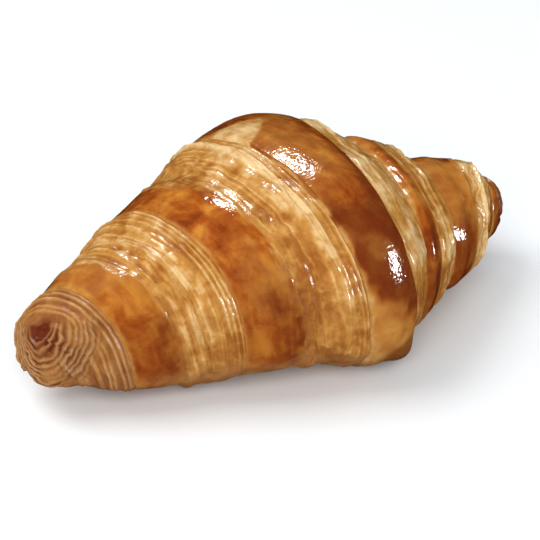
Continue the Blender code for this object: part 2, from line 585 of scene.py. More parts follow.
    def layer_colour(self, tree: Tree, read: Sockets) -> Socket:
        """Colours the cream edges of the layers over the darker gold between them.

        Args:
            tree: The material's node tree.
            read: The sockets of the values on the points and of the coordinates.

        Returns:
            The colour's socket.
        """
        speckle = {"Vector": read["solid"], "Scale": per_metre(self.layer_grain_mm), "Detail": 7.0}
        grain = add_node(tree, "TexNoise", speckle | {"Distortion": 0.6, "Roughness": 0.62}).outputs["Fac"]
        streak = self.streaks(tree, read, self.layer_streak_mm, 5.0)
        uneven = add_node(tree, "Mix", {0: 0.8, 2: streak, 3: grain}).outputs[0]
        share = add_node(tree, "Math", {"operation": "MULTIPLY_ADD", 0: uneven, 1: 0.9, 2: -0.3})
        tone = {"operation": "MULTIPLY_ADD", 0: read["layer"], 1: 0.85, 2: share.outputs[0]}
        mixed = add_node(tree, "Math", tone).outputs[0]
        return add_node(tree, "ValToRGB", {"Fac": mixed}, self.layers).outputs["Color"]

    def sheen(self, tree: Tree, read: Sockets) -> Socket:
        """The strength of the reflection, which is less on the dry base."""
        dulled = {"Value": read["base"], "To Min": self.specular, "To Max": self.base_specular}
        return add_node(tree, "MapRange", dulled).outputs[0]

    def roughness(self, tree: Tree, read: Sockets) -> Socket:
        """Makes the wash glossy, the open layers satin and the base matte.

        Args:
            tree: The material's node tree.
            read: The sockets of the values on the points and of the coordinates.

        Returns:
            The roughness's socket.
        """
        glazed = {"Value": read["brown"], "To Min": self.layer_roughness, "To Max": self.wash_roughness}
        glaze = add_node(tree, "MapRange", glazed).outputs[0]
        return add_node(tree, "Mix", {0: read["base"], 2: glaze, 3: self.base_roughness}).outputs[0]

    def relief(self, tree: Tree, read: Sockets) -> Socket:
        """Adds pinhead blisters and the finest creases, too small for the mesh.

        Args:
            tree: The material's node tree.
            read: The sockets of the values on the points and of the coordinates.

        Returns:
            The normal's socket.
        """
        bubbly = {"feature": "SMOOTH_F1", "Vector": read["solid"], "Scale": per_metre(self.blister_mm)}
        small = add_node(tree, "TexVoronoi", bubbly | {"Smoothness": 0.6}).outputs[0]
        pits = add_node(tree, "Bump", {"Height": small, "Strength": 0.4, "Distance": self.blister_depth})
        grainy = {"Vector": read["solid"], "Scale": per_metre(self.grain_mm), "Detail": 5.0}
        grain = add_node(tree, "TexNoise", grainy).outputs["Fac"]
        creased = self.streaks(tree, read, self.crease_mm, 4.0)
        uneven = add_node(tree, "Mix", {0: 0.6, 2: grain, 3: creased}).outputs[0]
        creases = {"Height": uneven, "Strength": 0.35, "Distance": self.crease_depth}
        return add_node(tree, "Bump", creases | {"Normal": pits.outputs[0]}).outputs[0]


@dataclass(frozen=True)
class Wall:
    """What a side wall shows, from the wrap's edge down to its crease. Millimetres, and tones from 0 to 1.

    Right under the edge the layers lie squeezed together as ropes. Below them they have opened: thin sheets,
    torn along wandering lines, and here and there the free edge of a layer that crosses the wall as a ridge.
    Tone 0 is golden brown and tone 1 is cream. Deeper down, towards the crease, the tone is darkened as
    painted shade.
    """

    ropes: int = 3
    rope_gap: float = 0.8
    rope_width: float = 0.25
    rope_height: float = 0.42
    rope_tone: float = 0.5
    ridges: int = 3
    first_ridge: float = 2.6
    ridge_gap: float = 2.1
    ridge_roam: float = 3.4
    ridge_width: float = 0.28
    ridge_height: float = 0.5
    ridge_tone: float = 0.12
    sheets: float = 0.55
    sheet_length: float = 13.0
    sheet_width: float = 2.8
    sheet_levels: int = 3
    rim_tone: float = 0.25
    shade_tone: float = 0.22
    grooves: float = 0.015
    groove_gap: float = 0.55
    groove_tone: float = 0.02
    cream: float = 0.36
    cream_at: float = 2.8
    cream_width: float = 1.2
    crease_shade: float = 0.22
    crease_shade_from: float = 3.2
    tone: float = 0.3
    loose_tone: float = 0.12

    def read(self, points: Array, along: Array, across: Array, seed: int) -> tuple[Array, Array]:
        """Reads the wall.

        Args:
            points: Positions, which the unevenness is taken from.
            along: Distance round the roll.
            across: Distance from the wrap's edge down its wall.
            seed: Picks the pattern.

        Returns:
            The height over the wall, and the tone from 0, golden brown, to 1, cream.
        """
        path = np.stack([along, np.zeros_like(along), np.full_like(along, seed * 1.7)], axis=-1)
        shared = drift(path, 20.0, seed, 2)
        loose = drift(points, 2.6, seed + 40, 2)
        lines = self.lines(path, across - 0.3 * shared - 0.08 * loose, seed)
        roaming = self.roaming(path, across - 0.25 * loose, seed)
        sheet, rim, shade = self.torn(path, across, loose, seed)
        under_ropes = self.ropes * self.rope_gap
        opened = smoothstep(under_ropes - 0.3, under_ropes + 0.7, across)
        groove = np.sin(2.0 * math.pi * (across / self.groove_gap + 1.3 * shared + 0.25 * loose))
        grooved = smoothstep(-0.1, 0.5, drift(points, 9.0, seed + 43, 1))
        height = self.rope_height * lines + self.ridge_height * roaming * opened
        height = height + self.sheets * (sheet - 0.5) * opened + self.grooves * groove * grooved
        lobe = np.exp(-(((across - self.cream_at - 1.2 * shared) / self.cream_width) ** 2))
        patchy = np.clip(0.55 + 0.8 * drift(path + 5.0, 13.0, seed + 42, 2), 0.0, 1.0)
        # painted shade: the tone darkens down the wall towards the crease
        in_crease_shade = smoothstep(self.crease_shade_from, self.crease_shade_from + 1.8, across + shared)
        tone = self.tone - self.crease_shade * in_crease_shade
        tone = tone + self.cream * lobe * patchy + self.rope_tone * (lines - 0.45) * (1.0 - opened)
        tone = tone + (self.ridge_tone * roaming + self.rim_tone * rim - self.shade_tone * shade) * opened
        return height, tone + self.groove_tone * groove * grooved + self.loose_tone * loose

    def torn(self, path: Array, across: Array, loose: Array, seed: int) -> tuple[Array, Array, Array]:
        """Tears the opened layers into sheets that lie in steps.

        Args:
            path: Positions along the wrap.
            across: Distance from the wrap's edge.
            loose: Noise that frays the tears.
            seed: Picks the pattern.

        Returns:
            The sheets' height, their pale torn rims and the shade under the rims, each from 0 to 1.
        """
        cell = np.stack([path[:, 0] / self.sheet_length, across / self.sheet_width, path[:, 2]], axis=-1)
        raised = (drift(cell + 0.12 * loose[:, None], 1.0, seed + 41, 2) + 1.0) * 0.5 * self.sheet_levels
        share = raised - np.floor(raised)
        sheet = (np.floor(raised) + smoothstep(0.3, 0.7, share)) / self.sheet_levels
        rim = np.exp(-(((share - 0.68) / 0.09) ** 2))
        shade = np.exp(-(((share - 0.3) / 0.1) ** 2))
        return sheet, rim, shade

    def lines(self, path: Array, across: Array, seed: int) -> Array:
        """Draws the ropes, each a little further from the last.

        Args:
            path: Positions along the wrap.
            across: Distance from the wrap's edge.
            seed: Picks the pattern.

        Returns:
            The ropes' height, from 0 to 1.
        """
        height = np.zeros(len(across))
        for k in range(self.ropes):
            line = 0.3 + self.rope_gap * k * (1.0 + 0.1 * k)
            apart = 0.1 * (1.0 + k) * drift(path + 11.0 * k, 8.0, seed + 7 * k, 2)
            strength = np.clip(0.7 + 0.6 * drift(path + 17.0 * k, 10.0, seed + 7 * k + 3, 2), 0.0, 1.0)
            rope = np.exp(-(((across - line - apart) / self.rope_width) ** 2))
            height = np.maximum(height, strength * rope)
        return height

    def roaming(self, path: Array, across: Array, seed: int) -> Array:
        """Draws the layers' free edges, which wander over the wall and are steeper below.

        Args:
            path: Positions along the wrap.
            across: Distance from the wrap's edge.
            seed: Picks the pattern.

        Returns:
            The free edges' height, from 0 to 1.
        """
        height = np.zeros(len(across))
        for k in range(self.ridges):
            roam = self.ridge_roam * drift(path + 31.0 * k, 26.0, seed + 5 * k + 60, 2)
            line = self.first_ridge + self.ridge_gap * k + roam
            strength = smoothstep(-0.25, 0.35, drift(path + 23.0 * k, 14.0, seed + 5 * k + 61, 1))
            gap = across - line
            width = np.where(gap > 0, self.ridge_width * 0.6, self.ridge_width)
            height = np.maximum(height, strength * np.exp(-((gap / width) ** 2)))
        return height


@dataclass(frozen=True)
class Noises:
    """The unevenness that the wraps' relief and colours share, read at their points. Each is around 0.

    Attributes:
        lumps: As wide as a bulge of a wrap.
        small: As wide as a strand.
        fine: As fine as the crust's grain.
        streak: Drawn out along the wrap.
        ragged: How far the line where the egg wash begins strays, in millimetres.
    """

    lumps: Array
    small: Array
    fine: Array
    streak: Array
    ragged: Array


@dataclass(frozen=True)
class Zones:
    """Where the points of the wraps lie: shares from 0 to 1, and distances in millimetres.

    Attributes:
        band: How many whole turns lie before the point.
        wall: On a side wall.
        back: On the back of a wrap.
        into_wash: How far beyond the line where the egg wash begins, and negative before it.
        unwashed: On a back, but before that line.
        middle: Near the middle of the roll.
        base: On the brown crust near the tray.
        from_tip: Distance from the end of the roll.
    """

    band: Array
    wall: Array
    back: Array
    into_wash: Array
    unwashed: Array
    middle: Array
    base: Array
    from_tip: Array


@dataclass
class Wraps:
    """The wraps from the centre flap to one tip, as one closed piece of the dough. Millimetres.

    The two halves below say how each was rolled and baked. The columns are counted in one turn, and the rows
    from one turn of the edge to the next. Each turn has its own wall. The bare crust is what the brush left
    out beyond each crease, given at turns. Near the middle, walls darken downwards as painted shade, between
    two
    heights: the first turn's between those of first_shade, and the later ones between those of later_shade.
    """

    roll: Roll
    name: str
    side: Side
    columns: int
    rows: int
    seed: int
    walls: tuple[Wall, ...]
    bare_turns: tuple[float, ...]
    bare: tuple[float, ...]
    raggedness: float
    browning: float
    wall_bulge: float
    crease_fill: float
    tip_base: float
    turn_length: float = 95.0
    turn_shortening: float = 0.2
    hem: float = 1.5
    step: float = 0.15
    overhang: float = 0.12
    lip_width: float = 0.9
    base_share: float = 0.75
    base_heights: tuple[float, float] = (9.5, 4.0)
    first_shade: tuple[float, float] = (27.0, 13.0)
    later_shade: tuple[float, float] = (17.0, 7.0)
    wash_strip: float = 2.6
    lumps_mm: float = 9.0
    small_mm: float = 3.2
    fine_mm: float = 1.3
    streak_mm: tuple[float, float] = (9.0, 0.9)
    blister_mm: float = 2.2
    lumps_on_back: float = 0.2
    lumps_on_wall: float = 0.42
    small_on_back: float = 0.05
    small_on_wall: float = 0.22
    fine_on_wall: float = 0.13
    blisters_on_wall: float = 0.25
    streaks_on_back: float = 0.06

    def grid(self) -> tuple[Array, Array]:
        """Lays out the points, without the last row, which is the next turn's first.

        Returns:
            The turns and the row of every point.
        """
        turns = np.arange(0, self.roll.turns * self.columns + 1) / self.columns
        row = np.arange(self.rows) / self.rows
        return np.meshgrid(turns, row, indexing="ij")

    def across(self, turns: Array, row: Array) -> dict[str, Array]:
        """Measures across the bands.

        Args:
            turns: Turns from the triangle's point.
            row: Row, with the crease at a half.

        Returns:
            X of the band's edges and crease, and shares and distances on its wall and its back.
        """
        roll, side = self.roll, self.side
        inner, outer = roll.edge_x(side, turns), roll.edge_x(side, turns + 1.0)
        crease = roll.crease_share(side, turns)
        share = np.where(row < 0.5, 2 * row * crease, 1.0 - 2 * (1.0 - row) * (1.0 - crease))
        width = np.abs(outer - inner) * 1.1
        return {
            "inner": inner,
            "outer": outer,
            "crease": crease,
            "share": share,
            "from_edge": share * width,
            "from_crease": (share - crease) * width,
            "to_edge": (1.0 - share) * width,
            "wall": np.clip(share / crease, 0.0, 1.0),
            "back": np.clip((share - crease) / (1.0 - crease), 0.0, 1.0),
        }

    def shape(self) -> Skin:
        """Makes the macro form: walls, creases, backs and the lip of each edge over the next wall.

        Returns:
            The form, as a closed skin.
        """
        roll = self.roll
        turns, row = self.grid()
        a = self.across(turns, row)
        x = roll.along_profile(a["inner"], a["outer"], a["share"])
        starting = smoothstep(0.0, 0.09, turns)
        wall = a["wall"] ** 1.5
        back = 1.0 - smoothstep(0.0, roll.back_rise, a["back"]) ** 0.7
        sunk = starting * np.where(a["share"] < a["crease"], wall, back)
        relief = roll.puff - (roll.puff + roll.crease_depth) * sunk
        relief = relief - self.step * starting * (1.0 - smoothstep(0.0, 3.0, a["from_edge"])) * (row < 0.5)
        lip = smoothstep(self.lip_width, 0.15, a["to_edge"]) * (row > 0.5)
        room = np.clip(np.abs(roll.tip(self.side) - x) / 5.0, 0.0, 1.0)
        x = x + self.side.value * self.overhang * lip * room
        angle = roll.angle(turns)
        points = roll.place(x, angle, relief * roll.unpressed(x, angle))
        return self.sewn(points, turns, row, a)

    def sewn(self, points: Array, turns: Array, row: Array, a: dict[str, Array]) -> Skin:
        """Joins the last row of each turn to the first row of the next, and closes the tip and the inside.

        Args:
            points: The form's points.
            turns: Their turns.
            row: Their rows.
            a: Their measures across the bands.

        Returns:
            The closed skin.
        """
        many, rows = points.shape[:2]
        number = np.arange(many * rows).reshape(many, rows)
        pole, heart = many * rows, many * rows + 1
        following = np.arange(many) + self.columns
        last = np.where(following < many, number[np.minimum(following, many - 1), 0], pole)
        closed = np.concatenate([number, last[:, None]], axis=1)
        quads = np.stack([closed[:-1, :-1], closed[1:, :-1], closed[1:, 1:], closed[:-1, 1:]], axis=-1)
        quads = quads.reshape(-1, 4)
        if self.side is Side.RIGHT:
            quads = quads[:, ::-1]
        ends = [self.roll.tip_point(self.side)[None, :], self.roll.heart()[None, :]]
        skin = Skin(np.concatenate([points.reshape(-1, 3), *ends]), quads)
        along = turns * self.turn_length * (1.0 - self.turn_shortening * turns)
        skin.values = {key: np.append(value.ravel(), [value.ravel()[-1]] * 2) for key, value in a.items()}
        skin.values["turns"] = np.append(turns.ravel(), [self.roll.turns, 0.0])
        skin.values["row"] = np.append(row.ravel(), [1.0, 0.0])
        skin.values["along"] = np.append(along.ravel(), [0.0, 0.0])
        rim = [int(k) for k in closed[0]] + [int(k) for k in number[self.columns - 1 :: -1, 0]][:-1]
        skin.caps = self.cap(rim, heart)
        return skin

    def cap(self, rim: list[int], heart: int) -> list[tuple[int, ...]]:
        """Closes the inside, where the centre flap covers it.

        Args:
            rim: The points round the opening.
            heart: A point inside the roll.

        Returns:
            Triangles from the rim to that point.
        """
        pairs = zip(rim, rim[1:] + rim[:1])
        if self.side is Side.LEFT:
            return [(b, a, heart) for a, b in pairs]
        return [(a, b, heart) for a, b in pairs]

    def noises(self, skin: Skin) -> Noises:
        """Reads the unevenness at the form's points.

        Args:
            skin: The form.

        Returns:
            The noises.
        """
        points, v, seed = skin.points, skin.values, self.seed
        length, width = self.streak_mm
        streak_at = [v["along"] / length, v["from_crease"] / width, np.floor(v["turns"])]
        streak_at = np.stack(streak_at, axis=-1) + 0.6 * drift(points, 2.4, seed + 31, 3)[:, None]
        return Noises(
            lumps=drift(points, self.lumps_mm, seed + 5, 2),
            small=drift(points, self.small_mm, seed + 12, 3),
            fine=drift(points, self.fine_mm, seed + 16, 2),
            streak=drift(streak_at, 1.0, seed + 30, 3),
            ragged=1.3 * drift(points, 8.0, seed + 20, 4) + 0.5 * drift(points, 1.8, seed + 21, 2),
        )

    def zones(self, skin: Skin, noises: Noises) -> Zones:
        """Sorts the points into walls, backs, bare crust and base.

        Args:
            skin: The form.
            noises: Its unevenness.

        Returns:
            The zones.
        """
        points, v = skin.points, skin.values
        past_crease = v["row"] >= 0.5
        bare = np.interp(v["turns"], self.bare_turns, self.bare)
        into_wash = v["from_crease"] - bare + (noises.ragged + 0.9 * noises.streak) * self.raggedness
        middle = smoothstep(-30.0, -12.0, points[:, 0]) * smoothstep(30.0, 12.0, points[:, 0])
        low = points[:, 2] + 2.0 * drift(points, 7.0, self.seed + 25, 3)
        base = smoothstep(*self.base_heights, low - 1.5 * middle)
        return Zones(
            band=np.floor(v["turns"]),
            wall=smoothstep(0.0, 0.35, v["from_edge"]) * ~past_crease * smoothstep(1.03, 0.9, v["wall"]),
            back=smoothstep(0.0, 0.12, v["back"]) * smoothstep(0.0, 0.5, v["to_edge"]) * past_crease,
            into_wash=into_wash,
            unwashed=smoothstep(0.6, -0.4, into_wash) * past_crease,
            middle=middle,
            base=base * (self.base_share + (1.0 - self.base_share) * middle),
            from_tip=np.linalg.norm(points - self.roll.tip_point(self.side), axis=1),
        )

    def read_walls(self, skin: Skin, band: Array) -> tuple[Array, Array]:
        """Reads each turn's wall.

        Args:
            skin: The form.
            band: How many whole turns lie before each point.

        Returns:
            The height and the tone of the opened layers.
        """
        height, tone = np.zeros(len(skin.points)), np.zeros(len(skin.points))
        for turn, wall in enumerate(self.walls):
            here = np.clip(band, 0, len(self.walls) - 1) == turn
            along, across = skin.values["along"][here], skin.values["from_edge"][here]
            height[here], tone[here] = wall.read(skin.points[here], along, across, self.seed + 13 * turn)
        return height, tone

    def relief(self, skin: Skin, noises: Noises, zones: Zones, opened: Array) -> Array:
        """Adds up the opened layers, the bulge of the walls, lumps, blisters and the dough in the creases.

        Args:
            skin: The form.
            noises: Its unevenness.
            zones: Where its points lie.
            opened: The height of the opened layers.

        Returns:
            How far the crust stands out from the form.
        """
        points, v = skin.points, skin.values
        wall, back, base = zones.wall, zones.back, zones.base
        fill = np.exp(-((v["from_crease"] / 1.3) ** 2)) * smoothstep(0.05, 0.15, v["turns"])
        fill = fill * (0.6 + 0.5 * drift(points, 6.0, self.seed + 15) + 1.2 * base)
        bubble = blisters(points, self.blister_mm, self.seed + 9) * wall
        relief = opened * np.maximum(wall, 0.6 * zones.unwashed) * (1.0 - 0.85 * base)
        relief = relief + self.wall_bulge * np.sin(math.pi * v["wall"]) * wall
        relief = relief + (self.lumps_on_back * back + self.lumps_on_wall * wall) * noises.lumps
        relief = relief + (self.small_on_back * back + self.small_on_wall * wall) * noises.small
        relief = relief + self.fine_on_wall * noises.fine * wall * (1.0 - base)
        relief = relief + self.blisters_on_wall * bubble * np.clip(0.2 + noises.lumps, 0.0, 1.0)
        relief = relief + self.crease_fill * fill
        near_crease = smoothstep(5.0, 0.5, v["from_crease"])
        relief = relief + self.streaks_on_back * noises.streak * back * near_crease
        return relief + self.small_on_wall * noises.small * zones.unwashed

    def browned(self, skin: Skin, noises: Noises, zones: Zones, patches: Array) -> Array:
        """Browns the wash, which is thin beyond the bare crust, in patches, and at the edge.

        Args:
            skin: The form.
            noises: Its unevenness.
            zones: Where its points lie.
            patches: Where less wash lies.

        Returns:
            How brown the wash is, from 0 to 1.
        """
        v = skin.values
        brown = smoothstep(-0.9, self.browning, zones.into_wash) * (v["row"] >= 0.25)
        brown = brown * (1.0 - 0.3 * patches)
        fading = smoothstep(-0.1, 1.1, v["to_edge"] + 0.5 * noises.streak)
        return brown * np.where(v["row"] >= 0.5, 0.25 + 0.75 * fading, 1.0)

    def paler(self, skin: Skin, zones: Zones) -> tuple[Array, Array]:
        """How much of the brown is left, and how much paler the layers are, where one half differs."""
        return np.ones(len(skin.points)), np.zeros(len(skin.points))

    def crust_values(self, skin: Skin, noises: Noises, zones: Zones, tone: Array) -> dict[str, Array]:
        """Works out what the crust's finish reads.

        Args:
            skin: The form.
            noises: Its unevenness.
            zones: Where its points lie.
            tone: The tone of the opened layers.

        Returns:
            Values on the points, by name.
        """
        v, points, normals = skin.values, skin.points, skin.normals()
        lumps, small, fine = noises.lumps, noises.small, noises.fine
        backward, upward = normals[:, 1], normals[:, 2]
        warped = points + 2.4 * small[:, None] + 1.2 * np.stack([fine, -fine, fine], axis=-1)
        patches = smoothstep(0.1, 0.5, drift(warped, 7.5, self.seed + 22, 4))
        brown_left, lit = self.paler(skin, zones)
        brown = self.browned(skin, noises, zones, patches) * brown_left
        height = points[:, 2] + 2.0 * lumps
        # painted shade: near the middle of the roll the walls darken towards the tray, the first turn from
        # higher up
        first = 0.55 * smoothstep(*self.first_shade, height)
        later = 0.3 * smoothstep(*self.later_shade, height)
        tone = tone * (1.0 - np.where(zones.band == 0, first, later) * zones.middle)
        lined = 0.5 * smoothstep(0.4, 0.15, tone) * zones.wall * smoothstep(1.9, 2.1, v["turns"])
        strip = np.exp(-(((zones.into_wash - self.wash_strip) / 2.2) ** 2))
        strip = strip * (0.6 + 0.55 * drift(warped, 5.0, self.seed + 27, 4)) * smoothstep(0.95, 0.3, upward)
        # painted shade: darker where the crust turns from the top to the sides and down, except on faces
        # turned to the back
        turned_away_shade = smoothstep(0.85, 0.1, upward) * smoothstep(0.5, 0.0, backward)
        dark = (0.75 * strip + 0.36 * turned_away_shade) * zones.back * np.clip(1.0 - 1.3 * zones.base, 0.0, 1.0)
        tip_base = self.tip_base * smoothstep(1.7, 2.1, v["turns"])
        layer = tone + 0.18 * lumps + 0.12 * small + 0.14 * fine + lit - 0.04
        return {
            "wrap": np.stack([v["along"], v["from_edge"], zones.band * 37.0], axis=-1),
            "brown": np.clip(brown, 0.0, 1.0),
            "base": np.clip(zones.base + tip_base, 0.0, 1.0),
            "dark": np.clip(dark + lined, 0.0, 1.0),
            "layer": np.clip(layer, 0.0, 1.0),
        }

    def outward(self, points: Array) -> Array:
        """Points away from the middle of the end of the roll.

        Args:
            points: Where to start from.

        Returns:
            Directions of length 1.
        """
        middle = np.array([self.roll.tip(self.side) - 6.0 * self.side.value, 0.0, 11.0]) + self.roll.shift()
        away = points - middle
        return away / np.linalg.norm(away, axis=1, keepdims=True)

    def finish_tip(self, skin: Skin) -> None:
        """Shapes and colours the end of the roll."""

    def build(self, material: bpy.types.Material) -> bpy.types.Object:
        """Builds the piece.

        Args:
            material: Its finish.

        Returns:
            The new object.
        """
        skin = self.shape()
        noises = self.noises(skin)
        zones = self.zones(skin, noises)
        opened, tone = self.read_walls(skin, zones.band)
        values = self.crust_values(skin, noises, zones, tone)
        height = skin.points[:, 2]
        settled = smoothstep(0.3, 2.0, height) * smoothstep(1.0, 5.0, zones.from_tip)
        relief = self.relief(skin, noises, zones, opened) * settled
        hem = self.hem * hem_noise(skin.points, height, self.seed) * smoothstep(4.0, 9.0, zones.from_tip)
        skin.swell(relief, hem)
        skin.values = values
        self.finish_tip(skin)
        return skin.make(self.name, material)


@dataclass
class LeftWraps(Wraps):
    """The broad half. Its walls opened wide in the oven, and its blunt end shows the layers round a pit.

    The pit is placed from the end of the roll, at the height of the tray. The layers lie round it in shells.
    """

    name: str = "left_wraps"
    side: Side = Side.LEFT
    columns: int = 230
    rows: int = 130
    seed: int = 100
    walls: tuple[Wall, ...] = (
        Wall(),
        Wall(
            ropes=4,
            ridges=4,
            ridge_roam=2.2,
            sheet_width=2.2,
            grooves=0.03,
            cream_at=4.5,
            cream_width=2.0,
            crease_shade=0.05,
            tone=0.38,
        ),
        Wall(
            ropes=11,
            rope_gap=0.5,
            rope_width=0.19,
            rope_height=0.45,
            ridges=2,
            ridge_height=0.3,
            sheets=0.2,
            grooves=0.02,
            cream=0.1,
            crease_shade=0.0,
            tone=0.36,
        ),
    )
    bare_turns: tuple = (0.0, 0.38, 0.44, 0.5, 0.56, 0.7, 1.0, 1.26, 1.35, 1.44, 1.52, 1.6, 1.8, 2.2)
    bare: tuple = (2.3, 2.3, 2.5, 3.5, 5.0, 5.0, 2.0, 0.7, 1.2, 2.6, 3.6, 4.5, 3.0, 0.0)
    raggedness: float = 1.4
    browning: float = 1.6
    wall_bulge: float = 0.35
    crease_fill: float = 0.6
    tip_base: float = 0.6
    pit_at: tuple[float, float, float] = (1.8, -2.0, 17.0)
    pit_radius: float = 1.5
    pit_depth: float = 1.6
    pit_shade_radius: float = 4.0
    shell_reach: float = 11.0
    shell_gap: float = 0.9
    shell_depth: float = 0.5

    def paler(self, skin: Skin, zones: Zones) -> tuple[Array, Array]:
        """Paints light on the tops: less brown on the second wrap, and paler layers on the first wall.

        Args:
            skin: The form.
            zones: Where its points lie.

        Returns:
            How much of the brown is left, and how much paler the layers are.
        """
        upward = skin.normals()[:, 2]
        # painted light: lighter where the crust faces up, on the second wrap by less brown and on the first
        # wall by paler layers
        brown_left = 1.0 - 0.35 * (zones.band == 1) * smoothstep(0.6, 0.95, upward)
        return brown_left, (0.02 + 0.19 * smoothstep(0.5, 0.9, upward)) * (zones.band == 0)

    def finish_tip(self, skin: Skin) -> None:
        """Carves the blunt end: a pit, and the layers round it in shells, below the outer skin.

        Painted shade darkens the pit, the ring round it and the grooves between the shells, and the whole end
        face a little.

        Args:
            skin: The finished wraps.
        """
        points, values = skin.points, skin.values
        wobble = 1.4 * drift(points, 4.0, self.seed + 70, 3)
        fine = drift(points, 1.2, self.seed + 71, 2)
        pit_at = np.array([self.roll.tip(self.side), 0.0, 0.0]) + np.array(self.pit_at) + self.roll.shift()
        away = points - pit_at
        from_pit = np.linalg.norm(away * np.array([1.0, 1.0, 0.8]), axis=1) + 0.6 * wobble + 0.1 * fine
        below = smoothstep(1.6, -0.6, away[:, 2] + 0.35 * away[:, 1] + 0.5 * wobble)
        inside = smoothstep(self.shell_reach, self.shell_reach - 3.0, from_pit) * below
        shell = (0.5 - 0.5 * np.cos(2.0 * math.pi * from_pit / self.shell_gap)) ** 0.8
        strength = np.clip(0.65 + 0.6 * drift(points + 40.0, 3.5, self.seed + 72, 2), 0.1, 1.0)
        pit = np.exp(-((from_pit / self.pit_radius) ** 2))
        around = np.exp(-((from_pit / self.pit_shade_radius) ** 2)) * below
        carved = self.shell_depth * (1.0 - shell) * strength * inside + self.pit_depth * pit
        carved = carved + 0.1 * fine * inside
        skin.points = points - self.outward(points) * carved[:, None]
        outside = 1.0 - inside
        # painted shade in the pit, round it and in the grooves between the shells; the whole end face is also
        # a little darker
        shade = 0.95 * pit + inside * (0.16 + 0.45 * around + strength * 0.8 * (1.0 - shell))
        tone = 0.3 + 0.5 * shell * strength + 0.15 * fine
        values["brown"] = values["brown"] * outside
        values["base"] = np.clip(values["base"] * outside + 0.55 * inside, 0.0, 1.0)
        values["dark"] = np.clip(values["dark"] * outside + shade, 0.0, 1.0)
        values["layer"] = np.clip(values["layer"] * outside + inside * tone, 0.0, 1.0)


@dataclass
class RightWraps(Wraps):
    """The slim half. Its walls stayed nearly shut, and its end baked dark."""

    name: str = "right_wraps"
    side: Side = Side.RIGHT
    columns: int = 240
    rows: int = 100
    seed: int = 200
    walls: tuple[Wall, ...] = (
        Wall(ropes=0, ridges=1, ridge_roam=1.0, sheets=0.2, grooves=0.0, cream=0.1, crease_shade=0.0, tone=0.52),
        Wall(ropes=1, ridges=1, ridge_roam=1.0, sheets=0.2, grooves=0.0, cream=0.1, crease_shade=0.0, tone=0.38),
        Wall(ropes=0, ridges=1, ridge_roam=1.0, sheets=0.15, grooves=0.0, cream=0.2, tone=0.45),
    )
    bare_turns: tuple[float, ...] = (0.3, 0.5, 1.0, 1.5, 2.5)
    bare: tuple[float, ...] = (0.0, 1.0, 0.3, 0.5, 0.8)
    raggedness: float = 0.35
    browning: float = 0.4
    wall_bulge: float = 0.2
    crease_fill: float = 0.2
    tip_base: float = 0.0
    rough_from: float = 4.6
    rough_full: float = 3.2
    crumple_depth: float = 0.6
    layer_gap: float = 1.1
    layer_depth: float = 0.25

    def paler(self, skin: Skin, zones: Zones) -> tuple[Array, Array]:
        """Thins the wash in small patches."""
        patches = smoothstep(0.0, 0.5, drift(skin.points, 4.0, self.seed + 28, 4))
        return 1.0 - 0.3 * patches, np.zeros(len(patches))

    def finish_tip(self, skin: Skin) -> None:
        """Crumples the slim end, where the last layers baked dark, and darkens its grooves as painted shade.

        Args:
            skin: The finished wraps.
        """
        points, values = skin.points, skin.values
        tip = self.roll.tip(self.side) + float(self.roll.shift()[0])
        near_end = smoothstep(self.rough_from, self.rough_full, np.abs(points[:, 0] - tip))
        crumple = drift(points, 2.6, self.seed + 80, 2)
        layered = 0.5 + 0.5 * np.sin(2.0 * math.pi * (points[:, 0] / self.layer_gap + 0.8 * crumple))
        inward = near_end * (self.crumple_depth * np.abs(crumple) + self.layer_depth * (1.0 - layered))
        skin.points = points - self.outward(points) * inward[:, None]
        values["brown"] = values["brown"] * (1.0 - 0.6 * near_end) + 0.35 * near_end
        values["base"] = np.clip(values["base"] + 0.45 * near_end, 0.0, 1.0)
        # painted shade in the grooves between the crumpled layers, over a little darkening of the whole end
        values["dark"] = np.clip(values["dark"] + near_end * (0.05 + 0.35 * (1.0 - layered)), 0.0, 1.0)


